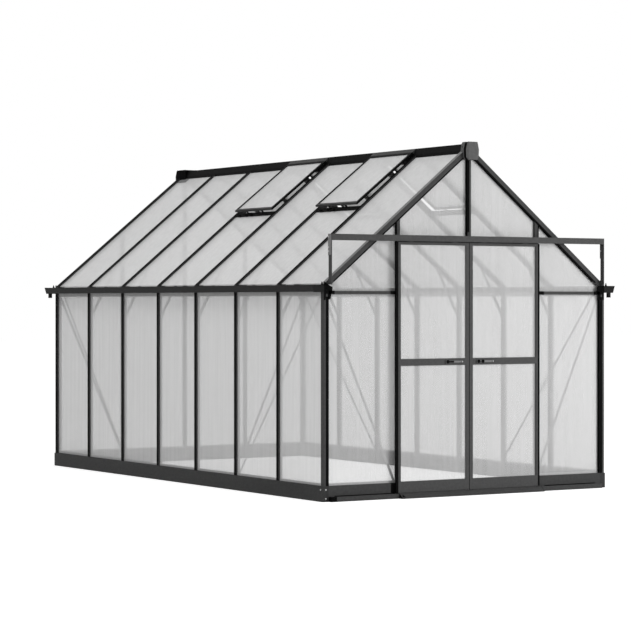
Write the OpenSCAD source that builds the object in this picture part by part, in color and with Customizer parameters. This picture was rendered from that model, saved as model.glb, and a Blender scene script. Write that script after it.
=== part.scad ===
/* [Building] */
// Spacing of the wall posts and rafters
bay = 610; // [500:5:700]
// Number of bays along each side wall
side_bays = 7; // [4:1:9]
// Width over the outer faces of the corner posts
width = 2470; // [2250:10:2700]
// Height of the eave beam's underside
eave_h = 1465; // [1400:5:1700]
// Slope of the roof in degrees
pitch = 39; // [34:1:42]
// Roof bays that carry a vent, counted from the front
vent_bays = [1, 3];

/* [Base] */
// Height of the base channel
base_h = 109; // [90:1:130]
// Depth of the base channel, outer face to inner lip
base_d = 40; // [34:1:50]
// Distance that the base stands proud of the side walls
base_out = 10; // [0:1:20]
// Wall of the base channel
base_t = 3; // [2:0.5:5]

/* [Frame] */
// Width and depth of the corner posts and eave beams
corner_w = 40; // [38:1:50]
// Height of the eave beams
beam_h = 44; // [36:1:55]
// Width of the posts and rafters between the corners
post_w = 30; // [24:1:36]
// Depth of the wall posts
post_d = 34; // [28:1:38]
// Depth of the rafters, square to the slope
rafter_d = 40; // [34:1:48]
// Depth of the posts and rails in the gables
gable_d = 26; // [20:1:30]
// Distance that the gable posts stand behind the corner posts
gable_set = 8; // [4:1:10]
// Centre of each doorway post from the middle
door_post_x = 610; // [560:5:640]
// Height of the thin rails in the gables
rail_h = 22; // [16:1:30]
// Half width of the ridge beam
ridge_r = 45; // [38:1:55]
// Height of the ridge beam above the rafters
ridge_rise = 52; // [45:1:75]
// Wall of the ridge beam
ridge_t = 4; // [3:0.5:6]
// Width of the flat bracing bars
brace_w = 20; // [14:1:26]
// Thickness of the flat bracing bars
brace_t = 4; // [3:0.5:6]

/* [Glazing] */
// Thickness of the twin-wall sheets
sheet_t = 6; // [4:1:8]
// Distance from the wall and roof frames' outer faces to the sheets
sheet_in = 12; // [10:1:16]
// Distance from the gables' outer faces to their sheets
gable_in = 26; // [16:1:27]

/* [Vents] */
// Length of each vent down the slope
vent_l = 628; // [500:2:680]
// Angle that the vents are propped open
vent_open = 1; // [1:0.5:12]
// Width of the vent frame bars
vent_bar = 24; // [18:1:30]

/* [Gutters] */
// Distance that each gutter stands out from the eave
gutter_out = 98; // [80:1:110]
// Height of the gutter's outer lip above its floor
gutter_h = 46; // [36:1:56]
// Wall of the gutter
gutter_t = 2.5; // [2:0.5:4]
// Length of the outlet below each gutter end
outlet_l = 38; // [25:1:60]

/* [Doors] */
// Width of one sliding door
door_w = 627.5; // [560:2.5:640]
// Gap between the two closed doors
door_gap = 5; // [5:0.5:10]
// Sideways offset of the closed pair from the middle
door_shift = -15; // [-20:1:20]
// Gap between the doors and the gable behind them
door_clear = 5; // [5:0.5:8]
// Thickness of the door frames
door_t = 18; // [14:1:22]
// Width of the door stiles
stile_w = 28; // [22:1:36]
// Height of the doors' bottom rail
kick_h = 78; // [60:1:100]
// Height of the doors' middle rail
mid_h = 49; // [40:1:60]
// Centre height of the doors' middle rail
mid_z = 960; // [800:5:1100]
// Underside of the header rail that carries the doors
header_z = 1818; // [1780:1:1850]
// Height of the header rail
header_h = 43; // [40:1:55]
// Distance that the header rail stands out from the gable
header_d = 45; // [42:1:55]
// Distance from the header's ends to the building's sides
header_in = 41; // [28:1:50]
// Height of the bottom track's lip
track_h = 34; // [28:1:40]
// Distance that the bottom track stands out from the base
track_d = 32; // [30:1:40]
// Reach of the threshold ramp in front of the base
ramp_d = 72; // [60:1:90]

/* [Hidden] */

eps = 1;                                   // overrun of cutting shapes
half_w = width / 2;
length = side_bays * bay + corner_w;
cap_out = 46;                              // reach of the ridge caps past each gable
front_y = -length / 2 + (ramp_d - cap_out) / 2;
back_y = front_y + length;
beam_top = eave_h + beam_h;
roof_lift = 3;
roof_z = beam_top + roof_lift;             // rafters' outer edge above the wall face
rafter_v = rafter_d / cos(pitch);          // depth of a rafter measured upright
posts = [for (i = [0:side_bays]) i];       // post lines, front to back

frame_grey = "#4b4c4e";
dark_grey = "#2f3032";
light_grey = "#8f9193";
black = "#161616";
clear_sheet = [0.88, 0.90, 0.90, 0.45];

// Centre and width of the post or rafter on line i, and the slope's heights at x
function post_y(i) = front_y + corner_w / 2 + i * bay;
function is_end(i) = i == 0 || i == side_bays;
function line_w(i) = is_end(i) ? corner_w : post_w;
function over_z(x) = roof_z + (half_w - abs(x)) * tan(pitch);
function under_z(x) = over_z(x) - rafter_v;
function has_vent(i) = len(search(i, vent_bays)) > 0;

seat_x = half_w - (rafter_v - roof_lift) / tan(pitch);  // inner end of a rafter's seat
slope_l = (half_w - ridge_r) / cos(pitch);                        // rafter length on the slope
ridge_z = over_z(ridge_r);
ridge_low = under_z(ridge_r);
ridge_top = ridge_z + ridge_rise;
ridge_flat = ridge_r * 0.55;                                      // half width of the ridge's top
ridge_step = 6;                                                   // upright edge above the slopes
sheet_z = -sheet_in - sheet_t;                                    // sheets' inner face on the slope
ridge_play = 1.1;                                                 // roof sheets clear the ridge beam
sheet_top = slope_l - (ridge_play - sheet_z * sin(pitch)) / cos(pitch);
hinge_up = 6;
hinge_s = slope_l + hinge_up;                                     // vent hinge, up the slope
hinge_t = 12;                                                     // and out from it
sill_l = 42;                                                      // cross bar below a vent
vent_lap = 20;                                                    // vent's lower edge on that bar
vent_s0 = hinge_s - vent_l * cos(vent_open) + vent_lap;           // upper edge of that bar

// Point in x and z that lies s up the left slope and t out from it
function slope_point(s, t) =
    [-half_w + s * cos(pitch) - t * sin(pitch), roof_z + s * sin(pitch) + t * cos(pitch)];

// Point at part k of the way up the ridge beam's left side
function ridge_side(k) =
    [-ridge_r + (ridge_r - ridge_flat) * k, ridge_z + ridge_step + (ridge_rise - ridge_step) * k];

// Height of a propped vent's underside, s up the slope
function sash_under(s) = hinge_t + (hinge_s - s) * tan(vent_open);

// A box between two corners
module span(a, b) {
    translate(a) cube(b - a);
}

// An outline in x and z, made solid from y0 to y1
module upright(points, y0, y1) {
    translate([0, y1, 0]) rotate([90, 0, 0]) linear_extrude(y1 - y0) polygon(points);
}

// An outline in y and z, made solid from x0 to x1
module sideways(points, x0, x1) {
    translate([x0, 0, 0]) rotate([90, 0, 90]) linear_extrude(x1 - x0) polygon(points);
}

// Children drawn for the left side are repeated on the right
module both_sides() {
    children();
    mirror([1, 0, 0]) children();
}

// Local frame of the left slope: x up the slope, z out of it
module on_slope() {
    translate([-half_w, 0, roof_z]) rotate([0, -pitch, 0]) children();
}

// Children drawn on the left wall or slope, placed on the named side
module placed(side) {
    if (side == "left") children();
    else mirror([1, 0, 0]) children();
}

// ---- base ----

// Channel with its web at y = 0 and its flanges turned towards +y
module channel_outline(depth) {
    difference() {
        square([depth, base_h]);
        translate([base_t, base_t]) square([depth, base_h - 2 * base_t]);
    }
}

module base_channel_x(x0, x1) {
    translate([x0, 0, 0]) rotate([90, 0, 90]) linear_extrude(x1 - x0) channel_outline(base_d);
}

module base_front() {
    color(frame_grey) both_sides() translate([0, front_y, 0])
        base_channel_x(-half_w + base_d, -door_post_x + post_w / 2);
}

module base_back() {
    color(frame_grey) translate([0, back_y, 0]) mirror([0, 1, 0])
        base_channel_x(-half_w + base_d, half_w - base_d);
}

module base_side(side) {
    side_d = base_d + base_out;
    color(frame_grey) placed(side) translate([-half_w - base_out, back_y, 0]) rotate([90, 0, 0]) {
        linear_extrude(length) channel_outline(side_d);
        for (z = [0, length - base_t]) translate([0, 0, z])
            linear_extrude(base_t) square([side_d, base_h]);   // plates that close the ends
    }
}

// ---- doorway ----

track_end = half_w - header_in;            // both rails end in line
track_floor = 3;                           // plate that the track lies on
lip_t = 3;

module bottom_track() {
    color(frame_grey) translate([0, front_y, 0]) sideways([
        [-track_d, 0], [0, 0], [0, track_floor], [lip_t - track_d, track_floor],
        [lip_t - track_d, track_h], [-track_d, track_h]
    ], -track_end, track_end);
}

module door_threshold() {
    sill_r = door_post_x - post_w / 2;
    ramp_r = door_post_x + post_w / 2;
    toe = 5;                               // blunt front edge of the ramp
    color(frame_grey) {
        translate([0, front_y, 0]) sideways([
            [-ramp_d, 0], [-track_d, 0], [-track_d, track_h], [-ramp_d, toe]
        ], -ramp_r, ramp_r);
        span([-sill_r, front_y, 0], [sill_r, front_y + base_d, track_h]);
    }
}

// ---- posts and beams ----

module corner_posts() {
    color(frame_grey) both_sides() for (y = [front_y, back_y - corner_w])
        span([-half_w, y, base_h], [-half_w + corner_w, y + corner_w, eave_h]);
}

module wall_posts(side) {
    color(frame_grey) placed(side) for (i = posts) if (!is_end(i))
        span([-half_w, post_y(i) - post_w / 2, base_h],
             [-half_w + post_d, post_y(i) + post_w / 2, eave_h]);
}

module eave_beam(side) {
    color(frame_grey) placed(side)
        span([-half_w, front_y, eave_h], [-half_w + corner_w, back_y, beam_top]);
}

// ---- gutters ----

gutter_top = beam_top - 4;
gutter_floor = gutter_top - gutter_h;
gutter_lean = 16;                          // lean of the outer wall
cap_t = 3;
cap_lip = 3;                               // rim of the caps beyond the gutter

// Trough outline on the left side, grown by g for the caps
module trough_outline(g) {
    polygon([
        [-half_w, gutter_top + g], [-half_w, gutter_floor - g],
        [-half_w - gutter_out + gutter_lean - g, gutter_floor - g],
        [-half_w - gutter_out - g, gutter_top + g]
    ]);
}

module gutter(side) {
    lean_t = gutter_t * gutter_lean / gutter_h;
    color(frame_grey) placed(side) translate([0, back_y, 0]) rotate([90, 0, 0])
        linear_extrude(length) difference() {
            trough_outline(0);
            polygon([
                [-half_w - gutter_t, gutter_top + eps], [-half_w - gutter_t, gutter_floor + gutter_t],
                [-half_w - gutter_out + gutter_lean + gutter_t - lean_t, gutter_floor + gutter_t],
                [-half_w - gutter_out + gutter_t, gutter_top], [-half_w - gutter_out + gutter_t, gutter_top + eps]
            ]);
        }
}

module gutter_end_caps() {
    both_sides() for (y = [front_y, back_y + cap_t])
        translate([0, y, 0]) rotate([90, 0, 0]) linear_extrude(cap_t) trough_outline(cap_lip);
}

// One outlet to each gutter: the left's at the back, the right's at the front
module gutter_outlets() {
    pipe_r = 16;
    pipe_out = 58;                         // from the wall
    pipe_x = half_w + pipe_out;
    inset = pipe_r + 2;                    // from the end of the gutter
    for (place = [[-pipe_x, back_y - inset], [pipe_x, front_y + inset]])
        translate([place[0], place[1], gutter_floor - outlet_l]) difference() {
            cylinder(r = pipe_r, h = outlet_l, $fn = 48);
            translate([0, 0, -eps]) cylinder(r = pipe_r - gutter_t, h = outlet_l - gutter_t, $fn = 48);
        }
}

module gutter_fittings() {
    color(dark_grey) {
        gutter_end_caps();
        gutter_outlets();
    }
}

// ---- roof frame ----

module rafters(side) {
    color(frame_grey) placed(side) for (i = posts) {
        y0 = i == 0 ? front_y : i == side_bays ? back_y - corner_w : post_y(i) - post_w / 2;
        upright([
            [-half_w, beam_top], [-half_w, roof_z], [-ridge_r, ridge_z],
            [-ridge_r, ridge_low], [-seat_x, beam_top]
        ], y0, y0 + line_w(i));
    }
}

function ridge_points(g, low) = [
    [-ridge_r, low], [ridge_r, low], [ridge_r + g, ridge_z + ridge_step],
    [ridge_flat + g, ridge_top + g], [-ridge_flat - g, ridge_top + g], [-ridge_r - g, ridge_z + ridge_step]
];

module ridge_beam() {
    in_r = ridge_r - ridge_t;
    color(dark_grey) translate([0, back_y, 0]) rotate([90, 0, 0]) linear_extrude(length) difference() {
        polygon(ridge_points(0, ridge_low));
        polygon([
            [-in_r, ridge_low + ridge_t], [in_r, ridge_low + ridge_t],
            [in_r, ridge_z + ridge_step - ridge_t / 2], [ridge_flat - ridge_t / 2, ridge_top - ridge_t],
            [ridge_t / 2 - ridge_flat, ridge_top - ridge_t], [-in_r, ridge_z + ridge_step - ridge_t / 2]
        ]);
    }
}

// Each cap is a six-sided flange with a narrower block in front of it
module ridge_caps() {
    rim = 13;                              // flange's edge beyond the ridge beam
    flange_t = 22;
    block_r = ridge_r - 1;
    color(frame_grey) for (end = [[front_y, -1], [back_y, 1]]) {
        y0 = end[0];
        y1 = y0 + end[1] * flange_t;
        y2 = y0 + end[1] * cap_out;
        upright(ridge_points(rim, ridge_low - rim), min(y0, y1), max(y0, y1));
        span([-block_r, min(y1, y2), ridge_low - rim], [block_r, max(y1, y2), ridge_top + rim]);
    }
}

// ---- gables ----

gable_front = front_y + gable_set;         // outer face of the front gable's posts
gable_back = back_y - gable_set - gable_d;  // inner face of the back gable's posts
rail_z = eave_h - rail_h;                  // top of the rails is level with the eave beam's underside
head_z0 = header_z - 18;                   // transom behind the header rail
head_z1 = header_z + header_h - 16;

// A gable post centred on x = c, cut to the rafters at its top
module gable_post(c, z0, y0, y1) {
    a = c - post_w / 2;
    b = c + post_w / 2;
    upright([[a, z0], [b, z0], [b, min(under_z(b), ridge_low)], [a, min(under_z(a), ridge_low)]], y0, y1);
}

module front_gable_posts() {
    color(frame_grey) {
        for (c = [-door_post_x, door_post_x]) gable_post(c, base_h, gable_front, gable_front + gable_d);
        gable_post(0, head_z1, front_y, gable_front + gable_d);
    }
}

module back_gable_posts() {
    color(frame_grey) for (c = [-door_post_x, 0, door_post_x])
        gable_post(c, base_h, gable_back, back_y - gable_set);
}

module gable_rail(x0, x1, y0) {
    span([x0, y0, rail_z], [x1, y0 + gable_d, rail_z + rail_h]);
}

bay_out = half_w - corner_w;               // side bays of the gables run between these two
bay_in = door_post_x + post_w / 2;
door_clear_x = door_post_x - post_w / 2;

module front_gable_rails() {
    color(frame_grey) {
        both_sides() gable_rail(-bay_out, -bay_in, gable_front);
        span([-door_clear_x, front_y, head_z0], [door_clear_x, gable_front + gable_d, head_z1]);
    }
}

module back_gable_rails() {
    color(frame_grey) both_sides() {
        gable_rail(-bay_out, -bay_in, gable_back);
        gable_rail(-door_clear_x, -post_w / 2, gable_back);
    }
}

// ---- header rail ----

rail_wall = 3;
ledge_z = header_z + 8;                    // strip that the wheels run on
ledge_w = 12;

module door_header_rail() {
    color(frame_grey) translate([0, front_y, 0]) sideways([
        [-header_d, header_z], [rail_wall - header_d, header_z],
        [rail_wall - header_d, header_z + header_h - rail_wall],
        [-rail_wall, header_z + header_h - rail_wall], [-rail_wall, ledge_z + rail_wall],
        [-rail_wall - ledge_w, ledge_z + rail_wall], [-rail_wall - ledge_w, ledge_z],
        [-rail_wall, ledge_z], [-rail_wall, header_z], [0, header_z],
        [0, header_z + header_h], [-header_d, header_z + header_h]
    ], -track_end, track_end);
}

// Flat struts from the header's ends down to the end rafters, just outside the open doors
module header_struts() {
    plate_t = 5;
    plate_out = 2;                         // play beside an open door, past the header's end
    plate_h = 105;                         // wide top of each strut, below the header rail
    strut_in = 7;                          // the strut's back edge, in front of the gable
    foot_h = 40;                           // wide foot, against the rafter
    x0 = -track_end - plate_out - plate_t;
    x1 = -track_end - plate_out;
    color(frame_grey) translate([0, front_y, 0]) both_sides() {
        span([x0, -header_d, beam_top], [x1, -strut_in, header_z]);
        span([x0, -header_d, beam_top], [x1, 0, beam_top + foot_h]);
        span([x0, -header_d, header_z - plate_h], [x1, 0, header_z]);
        span([x0, -header_d, header_z], [-track_end, 0, header_z + header_h]);
    }
}

// ---- glazing ----

module wall_panels(side) {
    color(clear_sheet) placed(side) for (i = [0:side_bays - 1])
        span([-half_w + sheet_in, post_y(i) + line_w(i) / 2, base_h],
             [-half_w + sheet_in + sheet_t, post_y(i + 1) - line_w(i + 1) / 2, eave_h]);
}

// Sheet of a gable's side bay above its rail
module gable_corner_sheet(y0) {
    upright([
        [-bay_out, rail_z + rail_h], [-bay_in, rail_z + rail_h], [-bay_in, under_z(bay_in)],
        [-seat_x, beam_top], [-bay_out, beam_top]
    ], y0, y0 + sheet_t);
}

// Sheet of a gable's middle bay from height z0 up to the rafter and ridge
module gable_middle_sheet(z0, y0) {
    upright([
        [-door_clear_x, z0], [-post_w / 2, z0], [-post_w / 2, ridge_low],
        [-ridge_r, ridge_low], [-door_clear_x, under_z(door_clear_x)]
    ], y0, y0 + sheet_t);
}

module front_gable_panels() {
    y0 = front_y + gable_in;
    color(clear_sheet) both_sides() {
        span([-bay_out, y0, base_h], [-bay_in, y0 + sheet_t, rail_z]);
        gable_corner_sheet(y0);
        gable_middle_sheet(head_z1, y0);
    }
}

module back_gable_panels() {
    y0 = back_y - gable_in - sheet_t;
    color(clear_sheet) both_sides() {
        span([-bay_out, y0, base_h], [-bay_in, y0 + sheet_t, rail_z]);
        span([-door_clear_x, y0, base_h], [-post_w / 2, y0 + sheet_t, rail_z]);
        gable_corner_sheet(y0);
        gable_middle_sheet(rail_z + rail_h, y0);
    }
}

sheet_s0 = 22;                             // lower end of the roof sheets
module roof_panels(side) {
    color(clear_sheet) placed(side) on_slope() for (i = [0:side_bays - 1])
        span([sheet_s0, post_y(i) + line_w(i) / 2, sheet_z],
             [has_vent(i) ? vent_s0 - sill_l : sheet_top, post_y(i + 1) - line_w(i + 1) / 2, -sheet_in]);
}

// ---- roof vents ----

vent_gap = 4;                              // play between a vent and the rafters
pane_t = 6;
sash_t = 14;
bay_clear = bay - post_w;
sill_set = 4;                              // sills lie this far in from the rafters' outer edge

// Children drawn over each vent bay in the slope's frame, on both slopes
module each_vent() {
    both_sides() on_slope() for (i = vent_bays) translate([0, post_y(i) + line_w(i) / 2, 0])
        children();
}

// Local frame of a propped vent: x runs down from the hinge
module propped() {
    translate([hinge_s, 0, hinge_t]) rotate([0, vent_open, 0]) mirror([1, 0, 0]) children();
}

module vent_sills() {
    color(frame_grey) each_vent()
        span([vent_s0 - sill_l, 0, sheet_z - sill_set], [vent_s0, bay_clear, -sill_set]);
}

module vent_sashes() {
    color(frame_grey) each_vent() propped() difference() {
        span([0, vent_gap, 0], [vent_l, bay_clear - vent_gap, sash_t]);
        span([vent_bar, vent_gap + vent_bar, -eps],
             [vent_l - vent_bar, bay_clear - vent_gap - vent_bar, sash_t + eps]);
    }
}

module vent_panes() {
    color(clear_sheet) each_vent() propped()
        span([vent_bar, vent_gap + vent_bar, (sash_t - pane_t) / 2],
             [vent_l - vent_bar, bay_clear - vent_gap - vent_bar, (sash_t + pane_t) / 2]);
}

// Strips that close the wedge between each vent's upper end and the ridge
module vent_hinges() {
    play = 0.02;
    lift = [sash_t * sin(vent_open) + play, sash_t * cos(vent_open)];
    color(light_grey) both_sides() for (i = vent_bays) {
        y0 = post_y(i) + line_w(i) / 2 + vent_gap;
        upright([
            slope_point(hinge_s + play, hinge_t), ridge_side(0.25), ridge_side(1),
            slope_point(hinge_s + lift[0], hinge_t + lift[1])
        ], y0, y0 + bay_clear - 2 * vent_gap);
    }
}

// Stays stand on the sills and carry the free edge of each vent
module vent_stays() {
    stay_w = 12;
    stay_l = 10;
    stay_at = [0.3, 0.7];                  // parts of the bay at which they stand
    b = vent_s0 - 6;
    a = b - stay_l;
    color(dark_grey) each_vent() for (y = stay_at * bay_clear)
        upright([[a, -sill_set], [b, -sill_set], [b, sash_under(b)], [a, sash_under(a)]], y, y + stay_w);
}

// ---- bracing ----

// Flat bar in the y-z plane of the left wall, from the base up to a corner
module wall_brace(y_low, y_high) {
    dy = brace_w * sign(y_low - y_high);
    translate([-half_w + post_d, 0, 0]) sideways([
        [y_low, base_h], [y_low + dy, base_h], [y_high + dy, eave_h], [y_high, eave_h]
    ], 0, brace_t);
}

module side_braces() {
    both_sides() {
        wall_brace(post_y(2), post_y(0) + corner_w);
        wall_brace(post_y(side_bays - 2), post_y(side_bays) - corner_w);
    }
}

// Flat bar across a gable's side bay, from the doorway post's foot to the corner post
module gable_brace(y0) {
    drop = 80;                             // below the eave beam on the corner post
    foot_x = -bay_in - brace_w / 2;
    top_z = eave_h - drop;
    upright([
        [foot_x, base_h], [foot_x + brace_w, base_h], [-bay_out, top_z + 2 * brace_w], [-bay_out, top_z]
    ], y0, y0 + brace_t);
}

module gable_braces() {
    both_sides() {
        gable_brace(gable_front + gable_d);
        gable_brace(gable_back - brace_t);
    }
}

module flat_braces() {
    color(light_grey) {
        side_braces();
        gable_braces();
    }
}

// Short struts from the wall posts up to the rafters
module knee_braces() {
    drop = 200;                            // below the eave beam on the post
    reach = 190;                           // along the rafter, from the post
    foot = 1.6 * brace_w;                  // height of the end on the post
    x0 = -half_w + post_d;
    x1 = x0 + reach;
    color(light_grey) both_sides() for (i = posts) if (!is_end(i))
        upright([
            [x0, eave_h - drop], [x1 + brace_w, under_z(x1 + brace_w)],
            [x1, under_z(x1)], [x0, eave_h - drop + foot]
        ], post_y(i) - brace_w / 2, post_y(i) + brace_w / 2);
}

// ---- sliding doors ----

door_y1 = front_y - door_clear;            // back of the doors
door_y0 = door_y1 - door_t;
door_play = 6;                             // above the track and below the header rail
door_z0 = track_h + door_play;
door_z1 = header_z - door_play;
top_h = 19;                                // height of the doors' top rail
left_x0 = door_shift - door_gap / 2 - door_w;
right_x0 = door_shift + door_gap / 2;

module door_frame(x0) {
    lip_w = 8;                             // edge that runs in the bottom track
    lip_y = door_y1 - door_t / 2;
    lip_play = 9;                          // above the track's floor
    color(frame_grey) {
        difference() {
            span([x0, door_y0, door_z0], [x0 + door_w, door_y1, door_z1]);
            span([x0 + stile_w, door_y0 - eps, door_z0 + kick_h],
                 [x0 + door_w - stile_w, door_y1 + eps, mid_z - mid_h / 2]);
            span([x0 + stile_w, door_y0 - eps, mid_z + mid_h / 2],
                 [x0 + door_w - stile_w, door_y1 + eps, door_z1 - top_h]);
        }
        span([x0 + stile_w, lip_y - lip_w / 2, track_floor + lip_play],
             [x0 + door_w - stile_w, lip_y + lip_w / 2, door_z0 + eps]);
    }
}

module door_panes(x0) {
    y0 = door_y1 - (door_t + sheet_t) / 2;
    color(clear_sheet) {
        span([x0 + stile_w, y0, door_z0 + kick_h], [x0 + door_w - stile_w, y0 + sheet_t, mid_z - mid_h / 2]);
        span([x0 + stile_w, y0, mid_z + mid_h / 2], [x0 + door_w - stile_w, y0 + sheet_t, door_z1 - top_h]);
    }
}

// Latch with its round boss at x and its lever pointing right
module door_handle(x) {
    boss_r = 11;
    boss_out = 12;
    lever_l = 128;
    lever_h = 13;
    lever_out = 8;
    knob_r = 7;
    color(light_grey) {
        for (part = [[0, boss_r, boss_out], [lever_l, knob_r, boss_out]])
            translate([x + part[0], door_y0, mid_z]) rotate([90, 0, 0])
                cylinder(r = part[1], h = part[2], $fn = 48);
        span([x, door_y0 - lever_out, mid_z - lever_h / 2], [x + lever_l, door_y0, mid_z + lever_h / 2]);
    }
}

// Two wheels on plates that stand on the door's top rail
module door_hangers(x0) {
    wheel_r = 11;
    wheel_w = 9;
    play = 0.3;                            // wheel above the ledge
    plate_l = 60;
    plate_t = 4;
    foot_h = 3;
    axle_z = ledge_z + rail_wall + play + wheel_r;
    plate_back = 4;                        // off the door's middle
    plate_y = door_y1 - door_t / 2 - plate_back;
    color(dark_grey) for (cx = [x0 + door_w / 5, x0 + door_w * 4 / 5]) {
        span([cx - plate_l / 2, door_y0 + 2, door_z1], [cx + plate_l / 2, door_y1 - 2, door_z1 + foot_h]);
        span([cx - plate_l / 4, plate_y - plate_t, door_z1], [cx + plate_l / 4, plate_y, axle_z + wheel_r / 2]);
        translate([cx, plate_y + wheel_w, axle_z]) rotate([90, 0, 0])
            cylinder(r = wheel_r, h = wheel_w + plate_t / 2, $fn = 48);
    }
}

left_latch_in = 195;                       // bosses of the latches, off the meeting edges
right_latch_in = 72;
left_handle_x = left_x0 + door_w - left_latch_in;
right_handle_x = right_x0 + right_latch_in;

base_front();
base_back();
base_side("left");  // base_left
base_side("right");  // base_right
bottom_track();
door_threshold();
corner_posts();
wall_posts("left");  // left_wall_posts
wall_posts("right");  // right_wall_posts
eave_beam("left");  // left_eave_beam
eave_beam("right");  // right_eave_beam
gutter("left");  // left_gutter
gutter("right");  // right_gutter
gutter_fittings();
rafters("left");  // left_rafters
rafters("right");  // right_rafters
ridge_beam();
ridge_caps();
front_gable_posts();
front_gable_rails();
back_gable_posts();
back_gable_rails();
door_header_rail();
header_struts();
wall_panels("left");  // left_wall_panels
wall_panels("right");  // right_wall_panels
front_gable_panels();
back_gable_panels();
roof_panels("left");  // left_roof_panels
roof_panels("right");  // right_roof_panels
vent_sills();
vent_sashes();
vent_panes();
vent_hinges();
vent_stays();
flat_braces();
knee_braces();
door_frame(left_x0);  // left_door_frame
door_panes(left_x0);  // left_door_panes
door_handle(left_handle_x);  // left_door_handle
door_hangers(left_x0);  // left_door_hangers
door_frame(right_x0);  // right_door_frame
door_panes(right_x0);  // right_door_panes
door_handle(right_handle_x);  // right_door_handle
door_hangers(right_x0);  // right_door_hangers
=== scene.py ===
import math

import bmesh
import bpy
from mathutils import Matrix, Vector


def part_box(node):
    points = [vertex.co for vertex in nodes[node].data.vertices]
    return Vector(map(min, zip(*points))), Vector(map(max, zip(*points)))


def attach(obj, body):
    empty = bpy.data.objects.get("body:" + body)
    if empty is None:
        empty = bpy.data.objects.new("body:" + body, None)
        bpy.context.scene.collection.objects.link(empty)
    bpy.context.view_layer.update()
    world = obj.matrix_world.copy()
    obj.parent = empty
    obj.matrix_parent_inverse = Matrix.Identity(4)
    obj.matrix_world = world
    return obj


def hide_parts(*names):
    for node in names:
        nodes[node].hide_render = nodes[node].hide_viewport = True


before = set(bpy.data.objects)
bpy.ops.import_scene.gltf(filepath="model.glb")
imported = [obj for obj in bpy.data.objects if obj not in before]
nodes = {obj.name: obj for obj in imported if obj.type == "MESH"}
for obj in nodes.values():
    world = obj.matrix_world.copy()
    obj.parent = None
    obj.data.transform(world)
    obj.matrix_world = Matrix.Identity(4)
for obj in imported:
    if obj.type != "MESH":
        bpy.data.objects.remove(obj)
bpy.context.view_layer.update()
print("greenhouse frame loaded:", len(nodes), "nodes")

scene = bpy.context.scene
scene.view_settings.view_transform = "Standard"


def startMaterial(name):
    # a fresh node tree with one Principled shader and the object's own coordinates
    material = bpy.data.materials.new(name)
    material.use_nodes = True
    tree = material.node_tree
    tree.nodes.clear()
    shader = tree.nodes.new("ShaderNodeBsdfPrincipled")
    output = tree.nodes.new("ShaderNodeOutputMaterial")
    place = tree.nodes.new("ShaderNodeTexCoord")
    tree.links.new(shader.outputs["BSDF"], output.inputs["Surface"])
    return material, tree, shader, place.outputs["Object"]


def addNoise(tree, vector, scale, detail=3.0, roughness=0.5):
    noise = tree.nodes.new("ShaderNodeTexNoise")
    noise.inputs["Scale"].default_value = scale
    noise.inputs["Detail"].default_value = detail
    noise.inputs["Roughness"].default_value = roughness
    tree.links.new(vector, noise.inputs["Vector"])
    return noise.outputs["Fac"]


def stretched(tree, vector, scale):
    # the same coordinates, squeezed or drawn out along each axis
    mapping = tree.nodes.new("ShaderNodeMapping")
    mapping.inputs["Scale"].default_value = scale
    tree.links.new(vector, mapping.inputs["Vector"])
    return mapping.outputs["Vector"]


def blendColours(tree, factor, first, second):
    mix = tree.nodes.new("ShaderNodeMix")
    mix.data_type = "RGBA"
    mix.inputs["A"].default_value = (*first, 1)
    mix.inputs["B"].default_value = (*second, 1)
    tree.links.new(factor, mix.inputs["Factor"])
    return mix.outputs["Result"]


noiseSwing = (0.35, 0.65)                        # most of a noise lies between these


def spread(tree, value, low, high):
    # turns the noise's own swing into low to high
    ranged = tree.nodes.new("ShaderNodeMapRange")
    ranged.inputs["From Min"].default_value = noiseSwing[0]
    ranged.inputs["From Max"].default_value = noiseSwing[1]
    ranged.inputs["To Min"].default_value = low
    ranged.inputs["To Max"].default_value = high
    tree.links.new(value, ranged.inputs["Value"])
    return ranged.outputs["Result"]


def addBump(tree, shader, height, strength, distance):
    bump = tree.nodes.new("ShaderNodeBump")
    bump.inputs["Strength"].default_value = strength
    bump.inputs["Distance"].default_value = distance
    tree.links.new(height, bump.inputs["Height"])
    tree.links.new(bump.outputs["Normal"], shader.inputs["Normal"])


def grey(level):
    return (level, level, level)


coatGrain = {
    "sheenScale": 2.3,          # times the mottle's scale
    "sheenSwing": 0.05,         # of the roughness, up and down
    "deep": 0.0004,             # height of the orange-peel grain
}


def coatedMetal(name, finish):
    # powder coat: a soft mottle, a fine orange-peel grain and a slightly uneven sheen
    material, tree, shader, place = startMaterial(name)
    mottle = addNoise(tree, place, finish["mottleScale"], 4.0)
    low = [c * (1 - finish["mottle"]) for c in finish["colour"]]
    high = [c * (1 + finish["mottle"]) for c in finish["colour"]]
    tint = blendColours(tree, spread(tree, mottle, 0.0, 1.0), low, high)
    tree.links.new(tint, shader.inputs["Base Color"])
    sheen = addNoise(tree, place, finish["mottleScale"] * coatGrain["sheenScale"], 2.0)
    swing = coatGrain["sheenSwing"]
    rough = spread(tree, sheen, finish["rough"] - swing, finish["rough"] + swing)
    tree.links.new(rough, shader.inputs["Roughness"])
    shader.inputs["Specular IOR Level"].default_value = finish["gloss"]
    grain = addNoise(tree, place, finish["grainScale"], 2.0)
    addBump(tree, shader, grain, finish["grain"], coatGrain["deep"])
    return material


sheetGrain = {
    "haze": (30.0, 30.0, 1.2),  # soft clouds, drawn out upwards
    "hazeSwing": 0.02,          # of the milkiness, up and down
    "bump": 0.12,
    "deep": 0.0006,             # height of the flutes
}


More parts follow.
